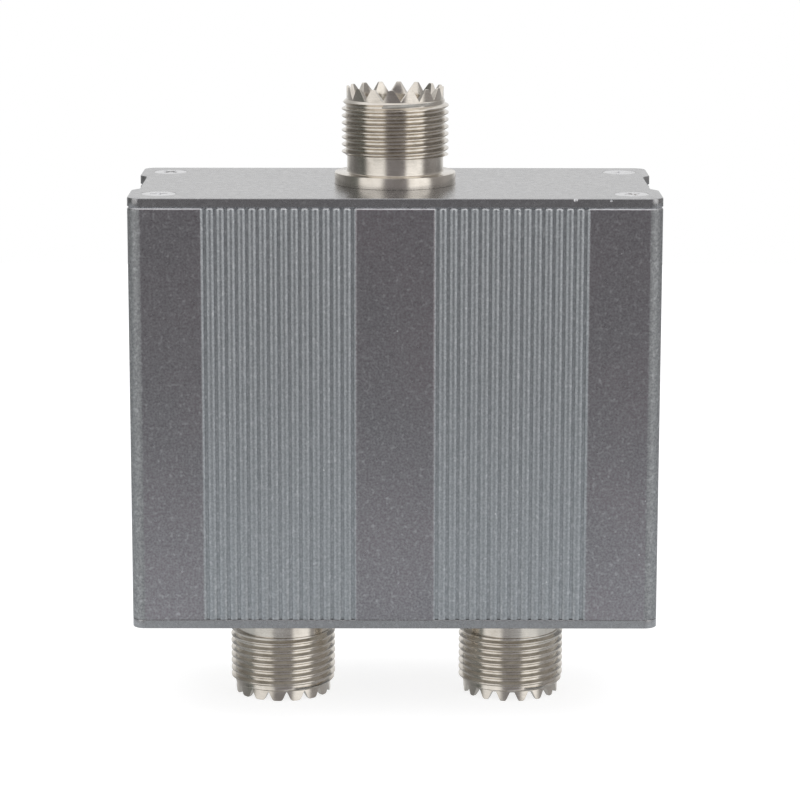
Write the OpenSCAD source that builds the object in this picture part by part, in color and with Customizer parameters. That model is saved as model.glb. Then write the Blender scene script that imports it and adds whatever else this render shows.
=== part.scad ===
// Antenna duplexer: one coaxial jack on top, two below, and a low-pass and a high-pass
// filter between them on one board, in a ribbed two-part housing.
// Origin at the centre of the housing. +X to the right, +Y to the back, +Z to the antenna jack.

/* [Housing] */
// Width over the two short sides
housing_w = 77.2; // [76.4:0.2:84]
// Depth from the front face to the back face
housing_d = 36.4; // [36:0.2:44]
// Length of the extruded half shells, between the end plates
shell_l = 61.1; // [61:0.1:74]
// Radius of the four long edges
edge_r = 1.9; // [1:0.1:2.4]
// Wall behind the front and back faces
face_wall = 2.2; // [1.8:0.1:2.6]
// Wall at the short sides
side_wall = 1.8; // [1.4:0.1:2]

/* [Side channel] */
// Depth of the channel along each short side
channel_depth = 1.1; // [0.6:0.1:1.4]
// Width of the channel's flat floor
channel_floor_w = 13.2; // [8:0.2:14]
// Run of the rounded shoulder at each side of the floor
channel_shoulder = 2.4; // [1.6:0.1:3]

/* [Ribs] */
// Distance from one groove to the next
groove_pitch = 1.52; // [1.36:0.02:1.6]
// Grooves in each ribbed band
groove_count = 15; // [4:1:15]
// Width of a groove's flat floor
groove_floor_w = 0.4; // [0.3:0.02:0.7]
// Depth of the grooves
rib_h = 0.45; // [0.3:0.05:0.6]
// Radius of a rib's rounded crown
rib_crown_r = 0.8; // [0.7:0.05:1]
// Width of the plain strip between the two ribbed bands
centre_strip_w = 11.9; // [8.1:0.2:13.9]

/* [Seam] */
// Depth of the rail inside each short side, from the channel's floor
rail_w = 3.6; // [3.4:0.1:4.2]
// Height of the rail on each half
rail_h = 3; // [2:0.1:4]
// Width of the tongue that locks one half to the other
tongue_w = 0.8; // [0.5:0.1:1]
// Height of the tongue
tongue_h = 1; // [0.6:0.1:1.6]
// Play round the tongue and at the board's edges
seam_gap = 0.05; // [0.02:0.01:0.1]

/* [End plates] */
// Thickness of each end plate
plate_t = 1.3; // [1.3:0.1:2]

/* [Plate screws] */
// Outside diameter of the screws
screw_d = 2.6; // [2.4:0.1:3]
// Diameter of the countersunk head
screw_head_d = 5; // [4.6:0.1:5]
// Length of the screws, head included
screw_l = 9; // [6:0.5:14]
// From the short side to the screw's axis
screw_inset_x = 4.3; // [4.2:0.1:4.6]
// From the front or back face to the screw's axis
screw_inset_y = 5.3; // [5:0.1:6]
// Wall round the channel that takes a screw
screw_port_wall = 1.6; // [1:0.1:1.7]
// Width of the slit that opens the screw channel to the inside
screw_port_slit = 1; // [0.6:0.1:1.4]
// Arm length of the cross recess
recess_l = 2.6; // [2:0.1:3]
// Arm width of the cross recess
recess_w = 0.6; // [0.4:0.05:0.7]
// Depth of the cross recess
recess_h = 0.8; // [0.4:0.1:1]

/* [Jacks] */
// Height of a jack over its plate
jack_h = 14.4; // [14:0.1:16]
// Distance between the two jacks of the bottom plate
jack_spacing = 34.8; // [32:0.2:36]
// How far those two stand to the right of the plate's middle
jack_shift = 0.35; // [0:0.05:0.6]
// Diameter of the flange
flange_d = 18; // [17.4:0.1:19]
// Thickness of the flange
flange_t = 1.75; // [1:0.05:2]
// Outside diameter of the thread
thread_d = 15.875; // [15.8:0.025:16]
// Root diameter of the thread
thread_root_d = 14.5; // [14.2:0.1:14.8]
// Pitch of the thread
thread_pitch = 1.0583; // [1:0.0001:1.1]
// Turns of the thread
thread_turns = 7; // [4:1:7]
// From the plate to the first crest
thread_start = 5; // [4.2:0.02:5.1]
// Diameter of the plain barrel between flange and thread
barrel_d = 14.3; // [14:0.1:14.5]
// Outside diameter of the toothed mouth
mouth_d = 14.4; // [14:0.1:14.5]
// Bore of the mouth
mouth_bore_d = 12.1; // [11.8:0.1:12.6]
// Depth of the mouth's bore
mouth_bore_h = 9; // [8.4:0.1:9.6]
// Teeth round the mouth
tooth_count = 16; // [12:2:18]
// Depth of the notches between the teeth
tooth_h = 1.75; // [1:0.05:2]
// Width of a notch at the rim
tooth_gap_w = 2; // [1.6:0.1:2.2]

/* [Jack insides] */
// Diameter of the insulator's boss round the contact
boss_d = 9.4; // [8.6:0.1:9.8]
// From the mouth's rim down to the boss
boss_drop = 4.5; // [4.2:0.1:5]
// Thickness of the insulator's floor in the mouth
insulator_floor_t = 1.2; // [0.8:0.1:1.6]
// Diameter of the insulator's sleeve through the plate
sleeve_d = 8.6; // [7.6:0.1:9]
// Outside diameter of the centre contact
contact_d = 5.6; // [5.2:0.1:6]
// Bore of the centre contact
contact_bore_d = 4; // [3.9:0.05:4.2]
// Depth of the centre contact's bore
contact_bore_h = 9.8; // [8:0.1:10.4]
// Width of the four slots that make the contact's tines
contact_slot_w = 0.5; // [0.3:0.05:0.7]
// Depth of the slots
contact_slot_h = 7; // [5:0.1:7.5]
// Diameter of the contact's tail
tail_d = 3.2; // [2.8:0.1:3.6]
// Length of the tail behind the insulator
tail_l = 4.4; // [4:0.1:5]
// Bore of the tail's solder cup
cup_bore_d = 2.2; // [1.6:0.1:2.4]
// Depth of that bore
cup_h = 3; // [2.2:0.1:3.4]
// Length over which the cup is cut open on one side
cup_open_h = 2.1; // [1:0.1:2.2]
// Metal between the contact's bore and its tail
contact_floor_t = 0.9; // [0.6:0.1:1.2]
// Step from the boss down to the end of the contact
contact_step = 0.2; // [0.1:0.1:0.5]
// How far the insulator stands out behind the jack's thread
insulator_stand = 0.4; // [0.2:0.1:0.6]

/* [Jack fixings] */
// Diameter of the jack's thread through the plate
stem_d = 12.7; // [12:0.1:13.4]
// Depth of the flat on that thread
stem_flat = 0.6; // [0.3:0.1:0.8]
// Length of that thread behind the plate
stem_l = 6; // [5:0.1:6.4]
// Play between that thread and the hole in the plate
stem_play = 0.1; // [0.05:0.05:0.2]
// Width of the nut over its flats
nut_af = 16; // [15.6:0.1:16.4]
// Thickness of the nut
nut_t = 3; // [2:0.1:3.4]
// Diameter of the lug's ring
lug_d = 17; // [16.6:0.1:18]
// Thickness of the lug
lug_t = 0.5; // [0.3:0.1:0.8]
// Width of the lug's tab
lug_tab_w = 3.6; // [3:0.1:4.4]
// Reach of the lug's tab from the jack's axis
lug_reach = 13.2; // [12.8:0.1:13.8]
// Turn of the tab away from straight back
lug_turn = 20; // [14:1:30]

/* [Board] */
// Thickness of the board
board_t = 1.6; // [1.2:0.1:1.8]
// How far each edge of the board sits in its rail
board_grip = 1.3; // [0.8:0.1:1.4]
// Gap between a jack's thread and the board
board_gap = 0.6; // [0.3:0.1:1]
// Width of the copper tracks
track_w = 2.4; // [1.6:0.1:3]
// Thickness of the copper
copper_t = 0.1; // [0.07:0.01:0.15]
// Clear ring in the earth foil round each live lead
foil_clear = 0.9; // [0.6:0.1:1]
// Strip left bare along the board's edges
foil_margin = 2; // [1.4:0.1:3]
// Diameter of the earth leads
earth_lead_d = 1; // [0.8:0.1:1.2]
// From a contact's end to the hole of its earth lead, along the board
earth_lead_step = 1.2; // [0.8:0.1:2]
// How far leads stand out behind the board
lead_stub = 1; // [0.6:0.1:1.6]

/* [Screen] */
// Height of the screen over the board
screen_h = 12; // [8:0.5:13.5]
// Thickness of the screen
screen_t = 0.5; // [0.3:0.1:0.8]
// From the screen's top end down from the contact tail's slot
screen_drop = 5; // [4:0.5:8]

/* [Coils] */
// Turns of each low-pass coil
low_turns = 4; // [2:1:4]
// Mean radius of the low-pass coils
low_r = 3.4; // [2.8:0.1:3.6]
// Wire of the low-pass coils
low_wire_d = 1; // [0.8:0.05:1.1]
// Pitch of the low-pass coils
low_pitch = 1.7; // [1.6:0.05:1.8]
// Turns of each high-pass coil
high_turns = 2; // [1:1:3]
// Mean radius of the high-pass coils
high_r = 2.4; // [2:0.1:2.8]
// Wire of the high-pass coils
high_wire_d = 0.8; // [0.6:0.05:0.9]
// Pitch of the high-pass coils
high_pitch = 1.5; // [1.4:0.05:1.8]
// Gap between the coils and the board
coil_lift = 1; // [0.6:0.1:2]

/* [Capacitors] */
// Diameter of the disc capacitors
cap_d = 5; // [4:0.1:5.4]
// Thickness of the disc capacitors
cap_t = 1.8; // [1.2:0.1:2.2]
// Distance between a capacitor's leads
cap_lead_gap = 3.4; // [2.6:0.1:4]
// Diameter of the capacitors' leads
cap_lead_d = 0.6; // [0.5:0.05:0.7]
// Gap between the discs and the board
cap_lift = 0.8; // [0.4:0.1:1.6]

/* [Hidden] */

// Colours
housing_colour = [0.50, 0.49, 0.50];
plate_colour = [0.72, 0.72, 0.73];
nickel_colour = [0.70, 0.67, 0.62];
steel_colour = [0.62, 0.62, 0.63];
ptfe_colour = [0.93, 0.93, 0.91];
copper_colour = [0.78, 0.45, 0.30];
enamel_colour = [0.70, 0.30, 0.14];
board_colour = [0.20, 0.38, 0.24];
tin_colour = [0.75, 0.76, 0.77];
ceramic_colour = [0.80, 0.50, 0.22];

// An amount by which cutters stand clear of what they cut
over = 1;
// Facets of round shapes, large and small
fine = 96;
small = 32;

// Housing
half_w = housing_w / 2;
half_d = housing_d / 2;
shell_z = shell_l / 2;
plate_z = shell_z + plate_t;
channel_x = half_w - channel_depth;
channel_half = channel_floor_w / 2;
corner_steps = 8;
shoulder_steps = 6;

// Ribs: crowned bars on a flat floor, level with the plain strips
rib_half = (groove_pitch - groove_floor_w) / 2;
band_start = centre_strip_w / 2 - rib_half;
band_end = band_start + groove_count * groove_pitch;
rib_floor_y = half_d - rib_h;

// Inside of the housing
cavity_x = half_w - side_wall;
cavity_y = half_d - face_wall;
backing_x = channel_x - side_wall;
backing_y = channel_half + channel_shoulder;
rail_x = channel_x - rail_w;
board_x = rail_x + board_grip;
tongue_x = (board_x + channel_x) / 2;

// Screws
screw_x = half_w - screw_inset_x;
screw_y = half_d - screw_inset_y;
screw_head_h = (screw_head_d - screw_d) / 2;
port_r = screw_d / 2 + screw_port_wall;
// Block that ties a screw's channel to the corner, up to the middle of both walls
port_block = [cavity_x - screw_x + side_wall / 2, cavity_y - screw_y + face_wall / 2];

// Jacks, measured from the outer face of their plate
low_x = jack_shift - jack_spacing / 2;
high_x = jack_shift + jack_spacing / 2;
mouth_floor = jack_h - mouth_bore_h;
boss_top = jack_h - boss_drop;
crest_flat = thread_pitch / 8;
thread_flank = (thread_d - thread_root_d) / 2 * tan(30);
thread_end = thread_start + (thread_turns - 1) * thread_pitch + crest_flat / 2 + thread_flank;
half_tooth = 180 / tooth_count;
tooth_cut_top = jack_h + over;
tooth_cut_w = tooth_gap_w * (tooth_h + over) / tooth_h;
web_top = mouth_floor + insulator_floor_t;
stem_back = -(plate_t + stem_l);
stem_flat_y = stem_d / 2 - stem_flat;
insulator_back = stem_back - insulator_stand;
contact_top = boss_top - contact_step;
contact_bore_floor = contact_top - contact_bore_h;
contact_back = contact_bore_floor - contact_floor_t;
tail_back = insulator_back - tail_l;

// Board: it stands on the housing's middle plane, and its edges meet the jacks' tails in slots
board_top = plate_z + stem_back - board_gap;
tail_reach = plate_z + tail_back;
board_face = -board_t / 2;
track_face = board_face - copper_t;
slot_w = tail_d;
slot_l = board_top - tail_reach + over;

// A place on the board, as [x, z]
antenna_pad = [0, tail_reach];
low_pad = [low_x, -tail_reach];
high_pad = [high_x, -tail_reach];

// A coil goes half a turn past its whole turns, so its two ends lie on opposite sides
half_turn = 0.5;
low_coil_l = (low_turns + half_turn) * low_pitch;
high_coil_l = (high_turns + half_turn) * high_pitch;
low_axis_y = track_face - coil_lift - low_wire_d / 2 - low_r;
high_axis_y = track_face - coil_lift - high_wire_d / 2 - high_r;

// Coils: middle, then the direction of the axis in degrees from +X towards +Z
low_in = [[-11, 10.5], 180];
low_middle = [[-25, 3.5], -90];
low_out = [[-17.5, -9], 0];
high_in = [[24.5, 11.5], 0];
high_out = [[26.5, -6], 0];

// Capacitors: middle, then the direction from one lead to the other
shunt_caps = [[[-17.5, 2], -60], [[-29.2, -10], -90]];
series_caps = [[[7, 11.5], 0], [[14, 3.5], -90], [[17.3, -11.5], -90]];

// Where a coil's first and last lead meet the board
function turned(p, a) = [p[0] * cos(a) - p[1] * sin(a), p[0] * sin(a) + p[1] * cos(a)];
function coil_lead(place, l, r, k) = place[0] + turned([k * l / 2, -k * r], place[1]);
function cap_lead(place, k) = place[0] + turned([k * cap_lead_gap / 2, 0], place[1]);

low_places = [low_in, low_middle, low_out];
high_places = [high_in, high_out];
low_leads = [for (p = low_places, k = [-1, 1]) coil_lead(p, low_coil_l, low_r, k)];
high_live = [for (p = high_places) coil_lead(p, high_coil_l, high_r, -1)];
high_earth = [for (p = high_places) coil_lead(p, high_coil_l, high_r, 1)];
shunt_live = [for (p = shunt_caps) cap_lead(p, -1)];
shunt_earth = [for (p = shunt_caps) cap_lead(p, 1)];
series_leads = [for (p = series_caps, k = [-1, 1]) cap_lead(p, k)];

// Each track joins the places listed for it
tracks = [
  [antenna_pad, low_leads[0]],
  [low_leads[1], shunt_live[0], low_leads[2]],
  [low_leads[3], shunt_live[1], low_leads[4]],
  [low_leads[5], low_pad],
  [antenna_pad, series_leads[0]],
  [series_leads[1], series_leads[2], high_live[0]],
  [series_leads[3], series_leads[4], high_live[1]],
  [series_leads[5], high_pad]
];

// Earth leads: from the hole in each lug's tab, along the housing, then to the foil
earth_r = lug_reach - lug_tab_w / 2;
earth_turn = [earth_r * sin(lug_turn), earth_r * cos(lug_turn)];
earth_z = tail_reach - earth_lead_step;
earth_feet = [
  [earth_turn[0], earth_z],
  [low_x - earth_turn[0], -earth_z],
  [high_x - earth_turn[0], -earth_z]
];

// Outline of the end plates and the housing, from the back right corner round
function arc(cx, cy, r, from, to, n) =
  [for (i = [0:n]) let (a = from + (to - from) * i / n) [cx + r * cos(a), cy + r * sin(a)]];
function shoulder() =
  [for (i = [0:shoulder_steps]) let (t = i / shoulder_steps)
    [channel_x + channel_depth * (1 - cos(180 * t)) / 2, channel_half + channel_shoulder * t]];
function back_edge() = concat(
  shoulder(),
  arc(half_w - edge_r, half_d - edge_r, edge_r, 0, 90, corner_steps)
);
function mirrored(points) = [for (i = [len(points) - 1:-1:0]) [-points[i][0], points[i][1]]];
function turned_over(points) = [for (p = points) [-p[0], -p[1]]];

module half_outline() {
  polygon(concat([[channel_x, 0]], back_edge(), mirrored(back_edge()), [[-channel_x, 0]]));
}

module full_outline() {
  half = concat(back_edge(), mirrored(back_edge()));
  polygon(concat(half, turned_over(half)));
}

// One ribbed band, cut into the face and filled with its ribs
module band_cut() {
  translate([band_start, rib_floor_y]) square([band_end - band_start, rib_h + over]);
}
module rib() {
  intersection() {
    translate([0, half_d - rib_crown_r]) circle(r = rib_crown_r, $fn = small);
    translate([-rib_half, rib_floor_y - over / 2]) square([2 * rib_half, rib_h + over]);
  }
}
module band_ribs() {
  intersection() {
    for (i = [0:groove_count]) translate([band_start + i * groove_pitch, 0]) rib();
    translate([band_start, 0]) square([band_end - band_start, half_d]);
  }
}

// The half shell's section: its open side lies on y = 0 and its face at +y
module screw_port_solid() {
  translate([screw_x, screw_y]) {
    circle(r = port_r, $fn = fine);
    square(port_block);
  }
}
module screw_port_bore() {
  translate([screw_x, screw_y]) {
    circle(d = screw_d, $fn = fine);
    rotate(-135) translate([0, -screw_port_slit / 2]) square([port_r + over, screw_port_slit]);
  }
}
module shell_section() {
  difference() {
    union() {
      difference() {
        half_outline();
        polygon([
          [-backing_x, -over], [-backing_x, backing_y], [-cavity_x, backing_y], [-cavity_x, cavity_y],
          [cavity_x, cavity_y], [cavity_x, backing_y], [backing_x, backing_y], [backing_x, -over]
        ]);
        for (k = [0, 1]) mirror([k, 0]) band_cut();
      }
      for (k = [0, 1]) mirror([k, 0]) {
        screw_port_solid();
        band_ribs();
        translate([rail_x, 0]) square([rail_w - side_wall / 2, rail_h]);
      }
      translate([-tongue_x - tongue_w / 2, -tongue_h]) square([tongue_w, tongue_h + rail_h / 2]);
    }
    for (k = [0, 1]) mirror([k, 0]) {
      screw_port_bore();
      translate([rail_x - over, -over]) square([board_grip + over + seam_gap, over + board_t / 2]);
    }
    translate([tongue_x - tongue_w / 2 - seam_gap, -over])
      square([tongue_w + 2 * seam_gap, tongue_h + over + seam_gap]);
  }
}
module half_shell() {
  color(housing_colour) translate([0, 0, -shell_z]) linear_extrude(shell_l) shell_section();
}
module back_shell() { half_shell(); }
module front_shell() { rotate([0, 0, 180]) half_shell(); }

// End plates
module at_screws() {
  for (x = [-screw_x, screw_x], y = [-screw_y, screw_y]) translate([x, y, 0]) children();
}
module countersink() {
  cylinder(d1 = screw_d, d2 = screw_head_d, h = screw_head_h, $fn = fine);
}
module stem_hole() {
  intersection() {
    translate([0, 0, -over]) cylinder(d = stem_d + 2 * stem_play, h = plate_t + 2 * over, $fn = fine);
    translate([-stem_d, -stem_d, -over])
      cube([2 * stem_d, stem_d + stem_flat_y + stem_play, plate_t + 2 * over]);
  }
}
module end_plate(holes) {
  color(plate_colour) difference() {
    linear_extrude(plate_t) full_outline();
    at_screws() {
      translate([0, 0, plate_t - screw_head_h]) countersink();
      translate([0, 0, -over]) cylinder(d = screw_d, h = plate_t + over, $fn = fine);
    }
    for (x = holes) translate([x, 0, 0]) stem_hole();
  }
}
module on_top() { translate([0, 0, shell_z]) children(); }
module on_bottom() { translate([0, 0, -shell_z]) rotate([0, 180, 0]) children(); }
module top_plate() { on_top() end_plate([0]); }
module bottom_plate() { on_bottom() end_plate([-high_x, -low_x]); }

module plate_screw() {
  difference() {
    union() {
      translate([0, 0, -screw_head_h]) countersink();
      translate([0, 0, -screw_l]) cylinder(d = screw_d, h = screw_l - screw_head_h / 2, $fn = fine);
    }
    for (a = [0, 90]) rotate(a)
      translate([-recess_l / 2, -recess_w / 2, -recess_h]) cube([recess_l, recess_w, recess_h + over]);
  }
}
module plate_screws() {
  color(steel_colour) translate([0, 0, plate_t]) at_screws() plate_screw();
}
module top_plate_screws() { on_top() plate_screws(); }
module bottom_plate_screws() { on_bottom() plate_screws(); }

// Jacks, drawn on the outer face of their plate
module at_antenna() { translate([0, 0, plate_z]) children(); }
module at_low() { translate([low_x, 0, -plate_z]) rotate([0, 180, 0]) children(); }
module at_high() { translate([high_x, 0, -plate_z]) rotate([0, 180, 0]) children(); }

function crest(z) = [
  [thread_root_d / 2, z - crest_flat / 2 - thread_flank], [thread_d / 2, z - crest_flat / 2],
  [thread_d / 2, z + crest_flat / 2], [thread_root_d / 2, z + crest_flat / 2 + thread_flank]
];
function crests() = [for (i = [0:thread_turns - 1]) each crest(thread_start + i * thread_pitch)];

// One cut across the mouth makes two notches
module tooth_cut() {
  linear_extrude(mouth_d + 2 * over, center = true) polygon([
    [0, jack_h - tooth_h], [tooth_cut_w / 2, tooth_cut_top], [-tooth_cut_w / 2, tooth_cut_top]
  ]);
}

module jack_shell() {
  thread_foot = thread_start - crest_flat / 2 - thread_flank;
  color(nickel_colour) difference() {
    rotate_extrude($fn = fine) polygon(concat(
      [[sleeve_d / 2, stem_back], [stem_d / 2, stem_back], [stem_d / 2, 0], [flange_d / 2, 0],
        [flange_d / 2, flange_t], [barrel_d / 2, flange_t], [barrel_d / 2, thread_foot]],
      crests(),
      [[mouth_d / 2, thread_end], [mouth_d / 2, jack_h], [mouth_bore_d / 2, jack_h],
        [mouth_bore_d / 2, mouth_floor], [sleeve_d / 2, mouth_floor]]
    ));
    for (i = [0:tooth_count / 2 - 1])
      rotate([90, 0, i * 360 / tooth_count + half_tooth]) tooth_cut();
    translate([-stem_d, stem_flat_y, stem_back - over])
      cube([2 * stem_d, stem_d, over - stem_back]);
  }
}

module jack_insulator() {
  color(ptfe_colour) rotate_extrude($fn = fine) polygon([
    [tail_d / 2, insulator_back], [sleeve_d / 2, insulator_back], [sleeve_d / 2, mouth_floor],
    [mouth_bore_d / 2, mouth_floor], [mouth_bore_d / 2, web_top], [boss_d / 2, web_top],
    [boss_d / 2, boss_top], [contact_d / 2, boss_top], [contact_d / 2, contact_back],
    [tail_d / 2, contact_back]
  ]);
}

module jack_contact() {
  color(nickel_colour) difference() {
    rotate_extrude($fn = fine) polygon([
      [0, tail_back], [tail_d / 2, tail_back], [tail_d / 2, contact_back],
      [contact_d / 2, contact_back], [contact_d / 2, contact_top], [contact_bore_d / 2, contact_top],
      [contact_bore_d / 2, contact_bore_floor], [0, contact_bore_floor]
    ]);
    for (a = [45, 135]) rotate(a)
      translate([-contact_d, -contact_slot_w / 2, contact_top - contact_slot_h])
        cube([2 * contact_d, contact_slot_w, contact_slot_h + over]);
    translate([0, 0, tail_back - over]) cylinder(d = cup_bore_d, h = cup_h + over, $fn = fine);
    translate([-tail_d, -tail_d, tail_back - over]) cube([2 * tail_d, tail_d, cup_open_h + over]);
  }
}

module jack_lug() {
  color(tin_colour) translate([0, 0, -plate_t - lug_t]) difference() {
    union() {
      cylinder(d = lug_d, h = lug_t, $fn = fine);
      rotate(-lug_turn) translate([-lug_tab_w / 2, 0, 0]) cube([lug_tab_w, earth_r, lug_t]);
      rotate(-lug_turn) translate([0, earth_r, 0]) cylinder(d = lug_tab_w, h = lug_t, $fn = fine);
    }
    translate([0, 0, -over]) cylinder(d = stem_d, h = lug_t + 2 * over, $fn = fine);
    rotate(-lug_turn) translate([0, earth_r, -over])
      cylinder(d = earth_lead_d, h = lug_t + 2 * over, $fn = small);
  }
}

module jack_nut() {
  color(nickel_colour) translate([0, 0, -plate_t - lug_t - nut_t]) difference() {
    cylinder(d = nut_af / cos(30), h = nut_t, $fn = 6);
    translate([0, 0, -over]) cylinder(d = stem_d, h = nut_t + 2 * over, $fn = fine);
  }
}

module antenna_jack_shell() { at_antenna() jack_shell(); }
module antenna_jack_insulator() { at_antenna() jack_insulator(); }
module antenna_jack_contact() { at_antenna() jack_contact(); }
module antenna_jack_lug() { at_antenna() jack_lug(); }
module antenna_jack_nut() { at_antenna() jack_nut(); }
module low_band_jack_shell() { at_low() jack_shell(); }
module low_band_jack_insulator() { at_low() jack_insulator(); }
module low_band_jack_contact() { at_low() jack_contact(); }
module low_band_jack_lug() { at_low() jack_lug(); }
module low_band_jack_nut() { at_low() jack_nut(); }
module high_band_jack_shell() { at_high() jack_shell(); }
module high_band_jack_insulator() { at_high() jack_insulator(); }
module high_band_jack_contact() { at_high() jack_contact(); }
module high_band_jack_lug() { at_high() jack_lug(); }
module high_band_jack_nut() { at_high() jack_nut(); }

// Board and copper. Shapes on the board are drawn flat as [x, z] and stood up.
module on_board(y, t) { translate([0, y + t, 0]) rotate([90, 0, 0]) linear_extrude(t) children(); }
module spots(places, d) {
  for (p = places) translate(p) circle(d = d, $fn = small);
}
module tail_slot(x, margin) {
  translate([x - slot_w / 2 - margin, tail_reach - margin])
    square([slot_w + 2 * margin, slot_l + margin]);
}
module tail_slots(margin) {
  tail_slot(antenna_pad[0], margin);
  mirror([0, 1]) for (x = [low_pad[0], high_pad[0]]) tail_slot(x, margin);
}
module lead_holes() {
  spots(low_leads, low_wire_d);
  spots(concat(high_live, high_earth), high_wire_d);
  spots(concat(shunt_live, shunt_earth, series_leads), cap_lead_d);
  spots(earth_feet, earth_lead_d);
}
module circuit_board() {
  color(board_colour) on_board(board_face, board_t) difference() {
    square([2 * board_x, 2 * board_top], center = true);
    tail_slots(0);
    lead_holes();
  }
}

module track(places) {
  for (i = [0:len(places) - 2]) {
    a = places[i];
    b = places[i + 1];
    translate(a) rotate(atan2(b[1] - a[1], b[0] - a[0]))
      translate([0, -track_w / 2]) square([norm(b - a), track_w]);
  }
  spots(places, track_w);
}
module copper_tracks() {
  color(copper_colour) on_board(track_face, copper_t) difference() {
    for (t = tracks) track(t);
    tail_slots(0);
    lead_holes();
  }
}

module earth_foil() {
  color(copper_colour) on_board(board_t / 2, copper_t) difference() {
    square([2 * (rail_x - foil_margin), 2 * (board_top - foil_margin)], center = true);
    tail_slots(foil_clear);
    spots(low_leads, low_wire_d + 2 * foil_clear);
    spots(high_live, high_wire_d + 2 * foil_clear);
    spots(concat(shunt_live, series_leads), cap_lead_d + 2 * foil_clear);
    lead_holes();
  }
}

// Each earth lead drops from its lug, turns a square corner and ends in the board
module earth_lead(foot) {
  y = earth_turn[1];
  translate([foot[0], y, foot[1] > 0 ? foot[1] : -shell_z])
    cylinder(d = earth_lead_d, h = shell_z - abs(foot[1]), $fn = small);
  translate([foot[0], y, foot[1]]) {
    sphere(d = earth_lead_d, $fn = small);
    rotate([90, 0, 0]) cylinder(d = earth_lead_d, h = y - board_face, $fn = small);
  }
}
module earth_leads() {
  color(tin_colour) for (foot = earth_feet) earth_lead(foot);
}

module filter_screen() {
  low = -board_top + foil_margin;
  high = tail_reach - screen_drop;
  color(tin_colour) translate([-screen_t / 2, board_face - screen_h, low])
    cube([screen_t, screen_h, high - low]);
}

// Coils: a tube swept along a leg, the turns and a second leg, as one unbroken skin
loop_rings = 24;
wire_sides = 6;

function coil_points(l, r, turns, leg) =
  let (n = round((turns + half_turn) * loop_rings), a = 360 / loop_rings)
  concat(
    [[-l / 2, leg, r], [-l / 2, leg / 2, r]],
    [for (i = [0:n]) [-l / 2 + l * i / n, -r * sin(a * i), r * cos(a * i)]],
    [[l / 2, leg / 2, -r], [l / 2, leg, -r]]
  );
function tangent(p, i) =
  let (d = p[min(i + 1, len(p) - 1)] - p[max(i - 1, 0)]) d / norm(d);
function wire_ring(p, i, d) =
  let (t = tangent(p, i), side = cross(t, [1, 0, 0]), u = side / norm(side), v = cross(t, u))
  [for (k = [0:wire_sides - 1])
    let (a = 360 * k / wire_sides) p[i] + d / 2 * (cos(a) * u + sin(a) * v)];

module coil(l, r, turns, leg, d) {
  p = coil_points(l, r, turns, leg);
  n = len(p);
  points = [for (i = [0:n - 1]) each wire_ring(p, i, d)];
  skin = [for (i = [0:n - 2], k = [0:wire_sides - 1])
    let (a = i * wire_sides + k, b = i * wire_sides + (k + 1) % wire_sides)
    each [[a, b, b + wire_sides], [a, b + wire_sides, a + wire_sides]]];
  first = [for (k = [1:wire_sides - 2]) [0, k + 1, k]];
  last_ring = (n - 1) * wire_sides;
  last = [for (k = [1:wire_sides - 2]) [last_ring, last_ring + k, last_ring + k + 1]];
  polyhedron(points, concat(first, skin, last));
}
module placed_coil(place, axis_y, l, r, turns, d) {
  leg = board_t / 2 + lead_stub - axis_y;
  color(enamel_colour) translate([place[0][0], axis_y, place[0][1]]) rotate([0, -place[1], 0])
    coil(l, r, turns, leg, d);
}
module low_coil(place) {
  placed_coil(place, low_axis_y, low_coil_l, low_r, low_turns, low_wire_d);
}
module high_coil(place) {
  placed_coil(place, high_axis_y, high_coil_l, high_r, high_turns, high_wire_d);
}
module low_pass_coil_in() { low_coil(low_in); }
module low_pass_coil_middle() { low_coil(low_middle); }
module low_pass_coil_out() { low_coil(low_out); }
module high_pass_coil_in() { high_coil(high_in); }
module high_pass_coil_out() { high_coil(high_out); }

// The least distance between points a full turn apart, less the wire
function least_gap(l, r, turns, d) =
  let (p = coil_points(l, r, turns, r), n = len(p))
  min([for (i = [0:n - 1], j = [0:n - 1]) if (j >= i + loop_rings / 2) norm(p[j] - p[i])]) - d;
echo(low_coil_gap = least_gap(low_coil_l, low_r, low_turns, low_wire_d));
echo(high_coil_gap = least_gap(high_coil_l, high_r, high_turns, high_wire_d));

// Disc capacitors, standing on their two leads
module disc_capacitor(place) {
  disc_y = track_face - cap_lift - cap_d / 2;
  lead_l = board_t / 2 + lead_stub - disc_y;
  translate([place[0][0], 0, place[0][1]]) rotate([0, -place[1], 0]) {
    translate([0, disc_y, -cap_t / 2]) cylinder(d = cap_d, h = cap_t, $fn = fine);
    for (k = [-1, 1]) translate([k * cap_lead_gap / 2, disc_y + lead_l, 0]) rotate([90, 0, 0])
      cylinder(d = cap_lead_d, h = lead_l, $fn = small);
  }
}
module shunt_capacitors() {
  color(ceramic_colour) for (p = shunt_caps) disc_capacitor(p);
}
module series_capacitors() {
  color(ceramic_colour) for (p = series_caps) disc_capacitor(p);
}

front_shell();
back_shell();
top_plate();
bottom_plate();
top_plate_screws();
bottom_plate_screws();
antenna_jack_shell();
antenna_jack_insulator();
antenna_jack_contact();
antenna_jack_lug();
antenna_jack_nut();
low_band_jack_shell();
low_band_jack_insulator();
low_band_jack_contact();
low_band_jack_lug();
low_band_jack_nut();
high_band_jack_shell();
high_band_jack_insulator();
high_band_jack_contact();
high_band_jack_lug();
high_band_jack_nut();
circuit_board();
copper_tracks();
earth_foil();
earth_leads();
filter_screen();
low_pass_coil_in();
low_pass_coil_middle();
low_pass_coil_out();
high_pass_coil_in();
high_pass_coil_out();
shunt_capacitors();
series_capacitors();
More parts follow.
